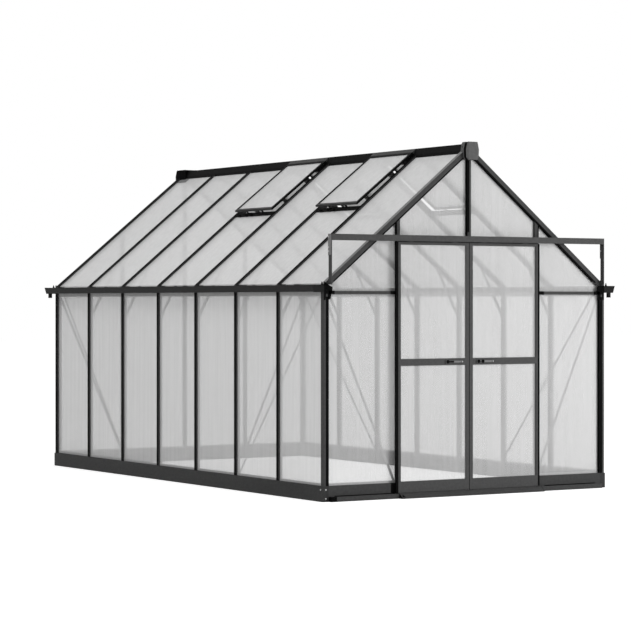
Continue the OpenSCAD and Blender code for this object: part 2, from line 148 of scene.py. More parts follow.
def flutedSheet(name, finish, along):
    # clear twin-wall sheet: walls run one way, so fine lines stand across the other
    material, tree, shader, place = startMaterial(name)
    split = tree.nodes.new("ShaderNodeSeparateXYZ")
    tree.links.new(place, split.inputs["Vector"])
    turns = tree.nodes.new("ShaderNodeMath")
    turns.operation = "MULTIPLY"
    turns.inputs[1].default_value = 2 * math.pi / finish["flute"]
    tree.links.new(split.outputs[along], turns.inputs[0])
    wave = tree.nodes.new("ShaderNodeMath")
    wave.operation = "SINE"
    tree.links.new(turns.outputs["Value"], wave.inputs[0])
    lines = tree.nodes.new("ShaderNodeMapRange")
    lines.inputs["From Min"].default_value = -1.0
    lines.inputs["From Max"].default_value = 1.0
    lines.inputs["To Min"].default_value = 0.0
    lines.inputs["To Max"].default_value = 1.0
    tree.links.new(wave.outputs["Value"], lines.inputs["Value"])
    haze = addNoise(tree, stretched(tree, place, sheetGrain["haze"]), 1.0, 2.0)
    shade = blendColours(tree, lines.outputs["Result"], finish["dark"], finish["light"])
    tree.links.new(shade, shader.inputs["Base Color"])
    swing = sheetGrain["hazeSwing"]
    mist = spread(tree, haze, finish["milky"] - swing, finish["milky"] + swing)
    denser = tree.nodes.new("ShaderNodeMath")
    denser.operation = "MULTIPLY_ADD"
    denser.inputs[1].default_value = finish["lineDensity"]
    tree.links.new(lines.outputs["Result"], denser.inputs[0])
    tree.links.new(mist, denser.inputs[2])
    tree.links.new(denser.outputs["Value"], shader.inputs["Alpha"])
    shader.inputs["Roughness"].default_value = finish["rough"]
    shader.inputs["Specular IOR Level"].default_value = finish["gloss"]
    addBump(tree, shader, lines.outputs["Result"], sheetGrain["bump"], sheetGrain["deep"])
    return material


# coated metals, rubber and plastic; colour is the coat's grey, from black to white
finishes = {
    "frame": {"colour": grey(0.044), "mottle": 0.10, "mottleScale": 55.0, "rough": 0.62,
              "gloss": 0.18, "grain": 0.25, "grainScale": 900.0},
    # the frame coat made lighter for the doors and the header: painted light
    "door": {"colour": grey(0.056), "mottle": 0.10, "mottleScale": 55.0, "rough": 0.60,
             "gloss": 0.20, "grain": 0.25, "grainScale": 900.0},
    # the frame coat made darker for the base's sides: painted shade
    "shadedBaseSides": {"colour": grey(0.032), "mottle": 0.10, "mottleScale": 55.0, "rough": 0.62,
             "gloss": 0.14, "grain": 0.25, "grainScale": 900.0},
    "ridge": {"colour": grey(0.005), "mottle": 0.12, "mottleScale": 55.0, "rough": 0.66,
              "gloss": 0.05, "grain": 0.25, "grainScale": 900.0},
    "gutter": {"colour": grey(0.016), "mottle": 0.12, "mottleScale": 55.0, "rough": 0.62,
               "gloss": 0.10, "grain": 0.25, "grainScale": 900.0},
    "cap": {"colour": grey(0.085), "mottle": 0.08, "mottleScale": 60.0, "rough": 0.55,
            "gloss": 0.22, "grain": 0.15, "grainScale": 900.0},
    "strip": {"colour": grey(0.150), "mottle": 0.10, "mottleScale": 70.0, "rough": 0.50,
              "gloss": 0.40, "grain": 0.15, "grainScale": 700.0},
    "rubber": {"colour": grey(0.0035), "mottle": 0.20, "mottleScale": 120.0, "rough": 0.80,
               "gloss": 0.03, "grain": 0.30, "grainScale": 1500.0},
    "plastic": {"colour": grey(0.007), "mottle": 0.15, "mottleScale": 90.0, "rough": 0.55,
                "gloss": 0.14, "grain": 0.20, "grainScale": 1200.0},
    "latch": {"colour": grey(0.150), "mottle": 0.08, "mottleScale": 150.0, "rough": 0.42,
              "gloss": 0.45, "grain": 0.10, "grainScale": 800.0},
    "zinc": {"colour": grey(0.45), "mottle": 0.10, "mottleScale": 300.0, "rough": 0.38,
             "gloss": 0.50, "grain": 0.10, "grainScale": 900.0},
    "trim": {"colour": grey(0.42), "mottle": 0.06, "mottleScale": 60.0, "rough": 0.50,
             "gloss": 0.35, "grain": 0.10, "grainScale": 700.0},
    "wheel": {"colour": grey(0.040), "mottle": 0.12, "mottleScale": 120.0, "rough": 0.50,
              "gloss": 0.35, "grain": 0.15, "grainScale": 900.0},
}
coats = {key: coatedMetal(key + "Coat", finish) for key, finish in finishes.items()}

# clear sheets; milky is how much of the sheet's own white hides what is behind. The real sheets are all
# alike: the three copies differ in grey and milkiness, tuned per face, so part of each face's light and shade
# is painted in
sheetFinish = {
    "wall": {"flute": 0.0105, "dark": grey(0.86), "light": grey(0.94), "milky": 0.46,
             "lineDensity": 0.05, "rough": 0.38, "gloss": 0.30},
    "roof": {"flute": 0.0105, "dark": grey(0.86), "light": grey(0.94), "milky": 0.62,
             "lineDensity": 0.04, "rough": 0.38, "gloss": 0.30},
    "gable": {"flute": 0.0105, "dark": grey(0.70), "light": grey(0.80), "milky": 0.31,
              "lineDensity": 0.05, "rough": 0.38, "gloss": 0.30},
}
sheets = {key: flutedSheet(key + "Sheet", finish, "X" if key == "gable" else "Y")
          for key, finish in sheetFinish.items()}
print("finishes made:", len(coats) + len(sheets))

# which finish each node of the frame takes; anything unnamed is frame coat
nodeFinish = {
    "ridge_beam": coats["ridge"],
    # the doors and the header take the lighter copy of the frame coat: painted light
    "left_door_frame": coats["door"],
    "right_door_frame": coats["door"],
    "door_header_rail": coats["door"],
    # the base's sides take the darker copy of the frame coat: painted shade
    "base_left": coats["shadedBaseSides"],
    "base_right": coats["shadedBaseSides"],
    "left_gutter": coats["gutter"],
    "right_gutter": coats["gutter"],
    "left_eave_beam": coats["gutter"],
    "right_eave_beam": coats["gutter"],
    "vent_sashes": coats["ridge"],
    "vent_sills": coats["ridge"],
    "flat_braces": coats["strip"],
    "knee_braces": coats["strip"],
    "vent_stays": coats["plastic"],
    "gutter_fittings": coats["plastic"],
    "left_door_handle": coats["latch"],
    "right_door_handle": coats["latch"],
    "left_door_hangers": coats["wheel"],
    "right_door_hangers": coats["wheel"],
    "left_wall_panels": sheets["wall"],
    "right_wall_panels": sheets["wall"],
    "left_roof_panels": sheets["roof"],
    "right_roof_panels": sheets["roof"],
    "vent_panes": sheets["roof"],
    "front_gable_panels": sheets["gable"],
    "back_gable_panels": sheets["gable"],
    "left_door_panes": sheets["gable"],
    "right_door_panes": sheets["gable"],
}
for name, node in nodes.items():
    chosen = nodeFinish.get(name, coats["frame"])
    if not node.material_slots:
        node.data.materials.append(chosen)
    for place in node.material_slots:
        place.material = chosen


# the frame's own boxes, low and high corners in metres
cornerLow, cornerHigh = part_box("corner_posts")
eaveLow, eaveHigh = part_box("left_eave_beam")
wallLow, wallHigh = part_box("left_wall_posts")
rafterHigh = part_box("left_rafters")[1]
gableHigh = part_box("front_gable_posts")[1]
capLow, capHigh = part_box("ridge_caps")
baseLow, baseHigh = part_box("base_left")
trackLow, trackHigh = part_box("bottom_track")
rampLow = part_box("door_threshold")[0]
headLow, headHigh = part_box("door_header_rail")
gutterLow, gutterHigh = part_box("left_gutter")
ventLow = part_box("vent_panes")[0]

halfWidth = cornerHigh.x
frontY = cornerLow.y
backY = cornerHigh.y
cornerWide = eaveHigh.x - eaveLow.x
postWide = 0.030                                 # posts and rafters between the corners
wallLines = 6                                   # posts between the corners
bay = (wallHigh.y - wallLow.y - postWide) / (wallLines - 1)
lines = [frontY + cornerWide / 2 + bay * i for i in range(wallLines + 2)]   # bar centres, front to back
baseTop = baseHigh.z
eaveZ = cornerHigh.z
beamTop = eaveHigh.z
ridgeSide = -rafterHigh.x
roofZ = beamTop + 0.003                          # roof plane at the eave
pitch = math.atan2(rafterHigh.z - roofZ, halfWidth - ridgeSide)
slopeLength = (halfWidth - ridgeSide) / math.cos(pitch)
rafterDeep = 0.040                               # square to the slope
gableSet = 0.008                                 # back gable's posts stand this far inside the corners
wallSheetX = -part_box("left_wall_panels")[0].x    # outer face of the wall sheets
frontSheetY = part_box("front_gable_panels")[0].y
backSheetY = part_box("back_gable_panels")[1].y
postX = gableHigh.x - postWide / 2               # middle of the doorway posts
ventBays = (1, 3)                                # counted from the front, the first is 0


def underRafter(x):
    # height of the end rafters' underside at x
    rise = (halfWidth - abs(x)) * math.tan(pitch)
    return roofZ + rise - rafterDeep / math.cos(pitch)


mirrorX = Matrix.Diagonal((-1, 1, 1, 1))
thinEdge = 0.0005                                # easing on the edges of thin strips


def addBlock(bm, low, high, place=None, chamfer=0.0006):
    # a block between two corners with its edges eased
    low = Vector(low)
    high = Vector(high)
    size = high - low
    made = bmesh.ops.create_cube(bm, size=1.0)["verts"]
    shape = Matrix.Translation((low + high) / 2) @ Matrix.Diagonal((*size, 1))
    bmesh.ops.transform(bm, matrix=shape, verts=made)
    if chamfer and min(size) > 2.5 * chamfer:
        edges = {e for v in made for e in v.link_edges}
        eased = bmesh.ops.bevel(bm, geom=list(edges), offset=chamfer, segments=1, affect="EDGES")
        made = list({v for f in eased["faces"] for v in f.verts})
    if place is not None:
        bmesh.ops.transform(bm, matrix=place, verts=made)


def addPlate(bm, outline, start, end, axis="y", place=None):
    # an outline drawn in the plane across the axis, made solid from start to end
    order = {"y": lambda a, b, t: (a, t, b), "x": lambda a, b, t: (t, a, b)}[axis]
    near = [bm.verts.new(order(a, b, start)) for a, b in outline]
    far = [bm.verts.new(order(a, b, end)) for a, b in outline]
    bm.faces.new(near)
    bm.faces.new(far[::-1])
    count = len(outline)
    for i in range(count):
        j = (i + 1) % count
        bm.faces.new((near[j], near[i], far[i], far[j]))
    if place is not None:
        bmesh.ops.transform(bm, matrix=place, verts=near + far)


def facing(normal):
    # turns z to the normal
    return Vector(normal).to_track_quat("Z", "Y").to_matrix().to_4x4()


studStraight = 0.72                              # part of a boss's height before its tip draws in


def addStud(bm, centre, normal, radius, height, sides=20, tip=0.8):
    # a turned or hex boss that stands on a face
    turn = Matrix.Translation(Vector(centre)) @ facing(normal)
    for base, part, top in ((0.0, studStraight, radius), (studStraight, 1 - studStraight, radius * tip)):
        made = bmesh.ops.create_cone(bm, cap_ends=True, segments=sides, radius1=radius,
                                     radius2=top, depth=height * part)["verts"]
        bmesh.ops.translate(bm, vec=(0, 0, height * (base + part / 2)), verts=made)
        bmesh.ops.transform(bm, matrix=turn, verts=made)


boltShape = {"washer": 1.35, "washerHigh": 0.0010, "washerTip": 0.95, "headHigh": 0.0036, "headTip": 0.86}


def addBolt(bm, centre, normal, size):
    # a washer and a hex head on it
    turn = Vector(normal).normalized()
    centre = Vector(centre)
    high = boltShape["washerHigh"]
    addStud(bm, centre, turn, size * boltShape["washer"], high, 18, boltShape["washerTip"])
    addStud(bm, centre + turn * high, turn, size, boltShape["headHigh"], 6, boltShape["headTip"])


def finishPiece(bm, name, finish, body):
    # makes the object, gives it its finish and lets it ride on its body
    bmesh.ops.recalc_face_normals(bm, faces=bm.faces)
    mesh = bpy.data.meshes.new(name)
    bm.to_mesh(mesh)
    bm.free()
    mesh.materials.append(finish)
    piece = bpy.data.objects.new(name, mesh)
    scene.collection.objects.link(piece)
    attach(piece, body)
    return piece


def onSlope(side):
    # x up the slope, y along the house, z out of the roof
    c = math.cos(pitch)
    s = math.sin(pitch)
    turn = Matrix(((c, 0, -s, -halfWidth), (0, 1, 0, 0), (s, 0, c, roofZ), (0, 0, 0, 1)))
    return turn if side < 0 else mirrorX @ turn


bothSides = ((-1, None), (1, mirrorX))
gables = ((frontY, frontSheetY, 1), (backY, backSheetY, -1))   # outer face, sheet's face, way inwards


def barWide(y):
    # the bars at both ends are wider than the ones between them
    return cornerWide if y in (lines[0], lines[-1]) else postWide


def bayEnds(i):
    # the clear stretch between the two bars of bay i
    return lines[i] + barWide(lines[i]) / 2, lines[i + 1] - barWide(lines[i + 1]) / 2


# black caps that hold the sheets along the wall posts and rafters
caps = {
    "proud": 0.0014,            # off the bar's face
    "edge": 0.0010,             # narrower than the bar, each side
    "chamfer": 0.0004,
    "footGap": 0.002,           # above the base
    "headGap": 0.001,           # below the gutter
    "eaveGap": 0.004,           # above the eave, up the slope
    "ridgeGap": 0.002,          # below the ridge, down the slope
}
bm = bmesh.new()
for side, flip in bothSides:
    for y in lines[1:]:
        half = barWide(y) / 2 - caps["edge"]
        addBlock(bm, (-halfWidth - caps["proud"], y - half, baseTop + caps["footGap"]),
                 (-halfWidth, y + half, gutterLow.z - caps["headGap"]), flip, caps["chamfer"])
    for y in lines[1:]:
        half = barWide(y) / 2 - caps["edge"]
        addBlock(bm, (caps["eaveGap"], y - half, 0),
                 (slopeLength - caps["ridgeGap"], y + half, caps["proud"]), onSlope(side), caps["chamfer"])
finishPiece(bm, "glazing_caps", coats["rubber"], "building")

# the front rafters carry the same cap in lighter metal
bm = bmesh.new()
for side in (-1, 1):
    half = cornerWide / 2 - caps["edge"]
    addBlock(bm, (caps["eaveGap"], lines[0] - half, 0),
             (slopeLength - caps["ridgeGap"], lines[0] + half, caps["proud"]), onSlope(side), caps["chamfer"])
finishPiece(bm, "front_rafter_caps", coats["strip"], "building")

# rubber beside the gable posts and under the end rafters, where the sheets sit; its black is also painted
# shade on the posts' sides and the rafters' undersides
seals = {
    "thick": 0.0012,
    "back": 0.0010,             # behind the post's face
    "proud": 0.0008,            # of the dark line on the rafter's face, painted shade along its lower edge
    "line": 0.009,              # height of that line
    "chamfer": 0.0003,
    "footGap": 0.002,           # above the base or the header
    "railGap": 0.024,           # below the eave, clear of the rail
    "eaveStart": 0.095,         # along the slope, where the rubber begins
    "lineStart": 0.075,         # and where the dark line begins
    "ridgeHalf": 0.045,         # half width of the ridge
    "ridgeGap": 0.030,          # end of both, before the ridge
}
bm = bmesh.new()
run = (halfWidth - seals["ridgeHalf"]) / math.cos(pitch) - seals["ridgeGap"]
for outer, sheet, way in gables:
    face = outer + seals["back"] if way > 0 else outer - gableSet - seals["back"]
    y0, y1 = sorted((face, sheet))
    thick = seals["thick"]
    for middle in (-postX, 0, postX):
        for hand in (-1, 1):
            x = middle + hand * postWide / 2
            foot = baseTop if way < 0 or (middle and hand * middle > 0) else headHigh.z
            if middle and way > 0 and hand * middle < 0:
                continue                         # the doorway side carries no sheet
            x0, x1 = sorted((x, x + hand * thick))
            top = min(underRafter(x), capLow.z)
            addBlock(bm, (x0, y0, foot + seals["footGap"]), (x1, y1, top), None, seals["chamfer"])
    for side, flip in bothSides:
        x = -halfWidth + cornerWide
        addBlock(bm, (x, y0, baseTop + seals["footGap"]),
                 (x + thick, y1, eaveZ - seals["railGap"]), flip, seals["chamfer"])
        addBlock(bm, (seals["eaveStart"], y0, -rafterDeep - thick),
                 (run, y1, -rafterDeep), onSlope(side), seals["chamfer"])
        face0, face1 = sorted((outer - way * seals["proud"], outer))
        addBlock(bm, (seals["lineStart"], face0, -rafterDeep),
                 (run, face1, seals["line"] - rafterDeep), onSlope(side), 0)
finishPiece(bm, "gable_seals_and_painted_shade", coats["rubber"], "building")
print("caps and seals made")

# painted shade: dark strips on the faces of the corner posts and the centre post, where the bars' shaded
# sides show
postShadeStrip = {
    "inset": 0.017,             # from the corner post's outer side
    "proud": 0.0012,
    "edge": 0.001,              # from the base and the post's inner side
    "eaveGap": 0.040,           # below the eave
    "headGap": 0.030,           # above the header, on the centre post
    "capGap": 0.002,            # below the ridge cap
}
bm = bmesh.new()
for outer, sheet, way in gables:
    y0, y1 = sorted((outer - way * postShadeStrip["proud"], outer))
    for side, flip in bothSides:
        addBlock(bm, (-halfWidth + postShadeStrip["inset"], y0, baseTop + postShadeStrip["edge"]),
                 (-halfWidth + cornerWide - postShadeStrip["edge"], y1, eaveZ - postShadeStrip["eaveGap"]), flip, 0)
    if way > 0:
        addBlock(bm, (-postWide / 2, y0, headHigh.z + postShadeStrip["headGap"]),
                 (0.0, y1, capLow.z - postShadeStrip["capGap"]), None, 0)
finishPiece(bm, "post_painted_shade_strips", coats["rubber"], "building")

# black blocks at both ends of each gable's thin rail
joints = {"long": 0.048, "proud": 0.0012, "deep": 0.006, "below": 0.0235, "above": 0.0015}
bm = bmesh.new()
for outer, sheet, way in gables:
    face = outer if way > 0 else outer - gableSet
    y0, y1 = sorted((face - way * joints["proud"], face + way * joints["deep"]))
    for side, flip in bothSides:
        for x0 in (-halfWidth + cornerWide, -postX - postWide / 2 - joints["long"]):
            addBlock(bm, (x0, y0, eaveZ - joints["below"]),
                     (x0 + joints["long"], y1, eaveZ + joints["above"]), flip)
finishPiece(bm, "rail_joint_blocks", coats["rubber"], "building")

# plates that tie post, eave beam and end rafter, from the outer corner inwards
gusset = {
    "thick": 0.0012,
    "outline": ((0.000, -0.064), (0.013, -0.064), (0.018, -0.021), (0.031, -0.021),
                (0.035, -0.059), (0.053, -0.059), (0.060, -0.029), (0.069, 0.005),
                (0.071, 0.027), (0.053, 0.035), (0.024, 0.050), (0.004, 0.066),
                (0.000, 0.060)),
    "bolts": ((0.008, -0.040), (0.012, 0.030), (0.020, 0.004)),
    "boltSize": 0.0045,
}
bm = bmesh.new()
bolts = bmesh.new()
for outer, sheet, way in gables:
    face = outer - way * gusset["thick"]
    y0, y1 = sorted((outer, face))
    for side, flip in bothSides:
        outline = [(-halfWidth + a, eaveZ + b) for a, b in gusset["outline"]]
        addPlate(bm, outline, y0, y1, "y", flip)
        for a, b in gusset["bolts"]:
            addBolt(bolts, (side * (halfWidth - a), face, eaveZ + b), (0, -way, 0), gusset["boltSize"])
finishPiece(bm, "eave_gussets", coats["rubber"], "building")
finishPiece(bolts, "gusset_bolts", coats["ridge"], "building")
print("posts and eave corners trimmed")

# bolts low on the base, at two opposite corners
baseBolt = {"size": 0.0048, "fromCorner": 0.026, "heights": (0.021, 0.084)}
bm = bmesh.new()
for outer, sheet, way in gables:
    side = -way
    x = side * (-baseLow.x - baseBolt["fromCorner"])
    for z in baseBolt["heights"]:
        addBolt(bm, (x, outer, z), (0, -way, 0), baseBolt["size"])
    y = outer + way * baseBolt["fromCorner"]
    addBolt(bm, (side * -baseLow.x, y, baseBolt["heights"][1]), (side, 0, 0), baseBolt["size"])
finishPiece(bm, "base_bolts", coats["zinc"], "building")

# light strips that hold the sheets down along the base
footStrip = {"high": 0.017, "thick": 0.0016}
bm = bmesh.new()
for side, flip in bothSides:
    for i in range(len(lines) - 1):
        y0, y1 = bayEnds(i)
        addBlock(bm, (-wallSheetX - footStrip["thick"], y0, baseTop),
                 (-wallSheetX, y1, baseTop + footStrip["high"]), flip, thinEdge)
    for outer, sheet, way in gables:
        y0, y1 = sorted((sheet, sheet - way * footStrip["thick"]))
        addBlock(bm, (-halfWidth + cornerWide, y0, baseTop),
                 (-postX - postWide / 2, y1, baseTop + footStrip["high"]), flip, thinEdge)
        if way < 0:
            addBlock(bm, (-postX + postWide / 2, y0, baseTop),
                     (-postWide / 2, y1, baseTop + footStrip["high"]), flip, thinEdge)
finishPiece(bm, "sheet_foot_strips", coats["trim"], "building")

# the bottom track's end cap, seals and a dark block, and the ramp's cheeks
track = {
    "capLong": 0.046,           # sleeve on the left end of the front lip
    "capProud": 0.0015,
    "lip": 0.0035,
    "over": 0.001,              # past the track's end and top
    "cheek": 0.0012,            # plate on each end of the ramp
    "nose": 0.006,              # height of its front edge
    "seal": 0.006,              # line along the track's upper edge
    "block": 0.034,             # dark block beside the left door
    "blockFrom": 0.068,
    "skin": 0.0006,             # thickness of seal and stop
}
bm = bmesh.new()
trackTop = trackHigh.z + track["over"]
for side, flip in bothSides:
    if side < 0:
        # a sleeve over the front lip and a plate on the end, clear of the open door
        corner = (trackLow.x - track["over"], trackLow.y - track["capProud"], 0.0)
        addBlock(bm, corner, (trackLow.x + track["capLong"], trackLow.y + track["lip"], trackTop),
                 flip, thinEdge)
        addBlock(bm, corner, (trackLow.x, frontY, trackTop), flip, 0)
    ends = [(rampLow.y, 0.0), (rampLow.y, track["nose"]), (trackLow.y, trackTop), (trackLow.y, 0.0)]
    addPlate(bm, ends, rampLow.x - track["cheek"], rampLow.x, "x", flip)
    start = -postX - track["blockFrom"]
    if side < 0:
        addBlock(bm, (start, frontY - track["skin"], trackHigh.z),
                 (start + track["block"], frontY, baseTop), flip, 0)
    addBlock(bm, (trackLow.x + track["capLong"], frontY - track["skin"], trackHigh.z),
             (start, frontY, trackHigh.z + track["seal"]), flip, 0)

# a black three-cornered patch that lies on the ramp's left end
rampPatch = {"wide": 0.036, "part": 0.75, "proud": 0.0012, "lift": 0.003}
rise = trackHigh.z * rampPatch["part"] + rampPatch["lift"]
back = rampLow.y + (trackLow.y - rampLow.y) * rampPatch["part"]
corners = ((rampLow.x, rampLow.y, rampPatch["lift"]), (rampLow.x + rampPatch["wide"], rampLow.y, rampPatch["lift"]),
           (rampLow.x + rampPatch["wide"] / 2, back, rise))
low = [bm.verts.new(c) for c in corners]
high = [bm.verts.new((x, y, z + rampPatch["proud"])) for x, y, z in corners]
bm.faces.new(low)
bm.faces.new(high[::-1])
for i in range(3):
    j = (i + 1) % 3
    bm.faces.new((low[i], low[j], high[j], high[i]))
finishPiece(bm, "track_caps_and_seals", coats["rubber"], "building")
print("base and track trimmed")

# light strips under the gutters, over the tops of the wall sheets
eaveStrip = {"high": 0.028, "thick": 0.0016}
bm = bmesh.new()
for side, flip in bothSides:
    for i in range(len(lines) - 1):
        y0, y1 = bayEnds(i)
        addBlock(bm, (-wallSheetX - eaveStrip["thick"], y0, gutterLow.z - eaveStrip["high"]),
                 (-wallSheetX, y1, eaveZ), flip, thinEdge)
finishPiece(bm, "eave_sheet_strips", coats["trim"], "building")

# a fin on each gutter end and a flat clip at each post
fin = {
    "thick": 0.003,
    "outline": ((0.000, 0.0), (0.022, 0.0), (0.014, 0.020), (0.009, 0.026), (0.005, 0.010)),
    "out": 0.028,               # from the building's side to the fin's foot
}
clip = {"half": 0.009, "in": 0.004, "top": 0.0005, "under": 0.003}
bm = bmesh.new()
for outer, sheet, way in gables:
    y0, y1 = sorted((outer, outer - way * fin["thick"]))
    for side, flip in bothSides:
        outline = [(-halfWidth - fin["out"] + a, gutterHigh.z + b) for a, b in fin["outline"]]
        addPlate(bm, outline, y0, y1, "y", flip)
for y in lines[1:-1]:
    for side, flip in bothSides:
        addBlock(bm, (gutterLow.x + clip["in"], y - clip["half"], gutterHigh.z - clip["under"]),
                 (-halfWidth, y + clip["half"], gutterHigh.z - clip["top"]), flip, thinEdge)
finishPiece(bm, "gutter_fins_and_clips", coats["plastic"], "building")
print("gutters trimmed")

# ridge caps: sloped face, stepped-in dark band, flange; half width and part of the height. The band's black
# is painted shade in its recess
cap = {
    "faceHalf": 0.041,          # of the plain front face
    "lip": 0.002,
    "slant": 0.006,
    "band": 0.030,
    "flange": 0.040,
    "step": 0.003,              # the band lies this far in
    "easeLong": 0.003,          # rounding at the flange's end
    "easeIn": 0.004,
    "easeTop": 0.001,
    "shape": ((0.040, 1.0), (0.047, 0.93), (0.0575, 0.56), (0.054, 0.14), (0.041, 0.0)),
    "screwOut": 0.051,
    "screwParts": (0.34, 0.72),
    "screwSize": 0.0034,
    "screwLean": 0.1,
}
tall = capHigh.z - capLow.z


def capRing(y, widen=0.0, flat=False):
    # the cap's outline at y, or its plain front face
    half = []
    for wide, part in cap["shape"]:
        wide = min(cap["faceHalf"], wide) if flat else wide + widen
        drop = cap["easeTop"] if widen and part == 1.0 else 0
        half.append((wide, y, capLow.z + part * tall - drop))
    return half + [(-x, y, z) for x, y, z in half[::-1]]


def addLoft(bm, rings):
    # a closed skin over rings of equal length, capped at both ends
    rows = [[bm.verts.new(point) for point in ring] for ring in rings]
    bm.faces.new(rows[0])
    bm.faces.new(rows[-1][::-1])
    for near, far in zip(rows, rows[1:]):
        for i in range(len(near)):
            j = (i + 1) % len(near)
            bm.faces.new((near[j], near[i], far[i], far[j]))


bm = bmesh.new()
dark = bmesh.new()
screws = bmesh.new()
for tip, way in ((capLow.y, 1), (capHigh.y, -1)):
    slant = tip + way * cap["slant"]
    band = slant + way * cap["band"]
    flange = band + way * cap["flange"]
    addLoft(bm, [capRing(tip, 0.0, True), capRing(tip + way * cap["lip"], 0.0, True), capRing(slant)])
    addLoft(dark, [capRing(slant, -cap["step"]), capRing(band, -cap["step"])])
    addLoft(bm if way > 0 else dark,
            [capRing(band), capRing(flange - way * cap["easeLong"]), capRing(flange, -cap["easeIn"])])
    for side in (-1, 1):
        for part in cap["screwParts"]:
            centre = (side * cap["screwOut"], band + way * cap["flange"] / 2, capLow.z + part * tall)
            addBolt(screws, centre, (side, 0, cap["screwLean"]), cap["screwSize"])
capPiece = finishPiece(bm, "ridge_cap_covers", coats["cap"], "building")
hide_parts("ridge_caps")

# a ribbed sleeve on the ridge, next to the back cap
sleeve = {
    "long": 0.150,
    "grow": 0.011,              # wider than the ridge, each side
    "up": 0.030,                # from the cap's foot
    "top": 0.004,               # below the cap's top
    "rib": 0.012,
    "ribs": 4,
    "ribProud": 0.0015,
    "ribUp": 0.036,
    "ribTop": 0.0025,
    "ribIn": 0.002,
}
sleeveEnd = capHigh.y - cap["slant"] - cap["band"] - cap["flange"]
sleeveStart = sleeveEnd - sleeve["long"] + cap["flange"]
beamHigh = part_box("ridge_beam")[1]
for side, flip in bothSides:
    outside = -ridgeSide - sleeve["grow"]
    addBlock(dark, (outside, sleeveStart, capLow.z + sleeve["up"]),
             (-ridgeSide, sleeveEnd, capHigh.z - sleeve["top"]), flip)
    for i in range(sleeve["ribs"]):
        y = sleeveStart + (i + 0.5) * (sleeveEnd - sleeveStart) / sleeve["ribs"]
        addBlock(dark, (outside - sleeve["ribProud"], y - sleeve["rib"] / 2, capLow.z + sleeve["ribUp"]),
                 (-ridgeSide - sleeve["ribIn"], y + sleeve["rib"] / 2, capHigh.z - sleeve["ribTop"]), flip)
addBlock(dark, (-ridgeSide, sleeveStart, beamHigh.z), (ridgeSide, sleeveEnd, capHigh.z - sleeve["top"]))
finishPiece(dark, "ridge_cap_sleeves_and_shaded_bands", coats["rubber"], "building")
finishPiece(screws, "ridge_cap_screws", coats["ridge"], "building")

# a metal flap beside the ridge at the back, lying on the roof sheets
flap = {"long": 0.16, "wide": 0.055, "thick": 0.002, "gap": 0.012}
bm = bmesh.new()
flapEnd = lines[-1] - cornerWide / 2
for side in (-1, 1):
    addBlock(bm, (slopeLength - flap["gap"] - flap["wide"], flapEnd - flap["long"], -flap["gap"]),
             (slopeLength - flap["gap"], flapEnd, -flap["gap"] + flap["thick"]), onSlope(side))
finishPiece(bm, "ridge_end_flaps", coats["strip"], "building")
print("ridge trimmed")

# small castings below each vent: a block with a peg on it
casting = {
    "long": 0.030,
    "wide": 0.010,
    "high": 0.009,
    "under": 0.004,             # sunk below the rafters' top
    "places": (0.52, 0.66, 0.84),                # parts of the bay
    "below": 0.026,             # down the slope from the vent's edge
    "pegLow": (0.003, 0.010, -0.001),            # peg's corners from the block's, over its top
    "pegHigh": (0.007, 0.020, 0.006),
}
castingStart = (halfWidth + ventLow.x) / math.cos(pitch) - casting["below"]
bm = bmesh.new()
for side in (-1, 1):
    for i in ventBays:
        for part in casting["places"]:
            y = lines[i] + postWide / 2 + part * (bay - postWide)
            addBlock(bm, (castingStart, y, -casting["under"]),
                     (castingStart + casting["wide"], y + casting["long"], casting["high"]), onSlope(side))
            corner = Vector((castingStart, y, casting["high"]))
            addBlock(bm, corner + Vector(casting["pegLow"]), corner + Vector(casting["pegHigh"]),
                     onSlope(side))
finishPiece(bm, "vent_stay_castings", coats["rubber"], "building")

# a paler bar along each vent's lower edge, on its top and front
ventBar = {
    "proud": 0.0010,
    "thick": 0.014,
    "wide": 0.018,
    "inset": 0.0015,
    "sideGap": 0.004,           # between vent and rafter
    "open": math.radians(1.0),  # same as the vent
}
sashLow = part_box("vent_sashes")[0]
tilt = pitch - ventBar["open"]
c = math.cos(tilt)
s = math.sin(tilt)
foot = (sashLow.x, sashLow.z + ventBar["thick"] * c)
lean = Matrix(((c, 0, -s, foot[0]), (0, 1, 0, 0), (s, 0, c, foot[1]), (0, 0, 0, 1)))   # x up the vent, z out
inset = ventBar["inset"]
bm = bmesh.new()
for side in (-1, 1):
    place = lean if side < 0 else mirrorX @ lean
    for i in ventBays:
        y0 = lines[i] + postWide / 2 + ventBar["sideGap"] + inset
        y1 = lines[i + 1] - postWide / 2 - ventBar["sideGap"] - inset
        addBlock(bm, (inset * 2, y0, 0), (ventBar["wide"], y1, ventBar["proud"]), place, 0)
        addBlock(bm, (-ventBar["proud"] / 2, y0, inset - ventBar["thick"]), (0, y1, -inset), place, 0)
finishPiece(bm, "vent_lower_bars", coats["frame"], "building")
print("vents trimmed")

# paler plates on the outside of the header's struts
endPlate = {"thick": 0.0015, "edge": 0.0015, "down": 0.103}
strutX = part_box("header_struts")[1].x + endPlate["thick"]
bm = bmesh.new()
for side, flip in bothSides:
    addBlock(bm, (-strutX, headLow.y + endPlate["edge"], headLow.z - endPlate["down"]),
             (-strutX + endPlate["thick"], frontY - endPlate["edge"], headHigh.z - endPlate["edge"]), flip)
finishPiece(bm, "header_end_plates", coats["strip"], "building")

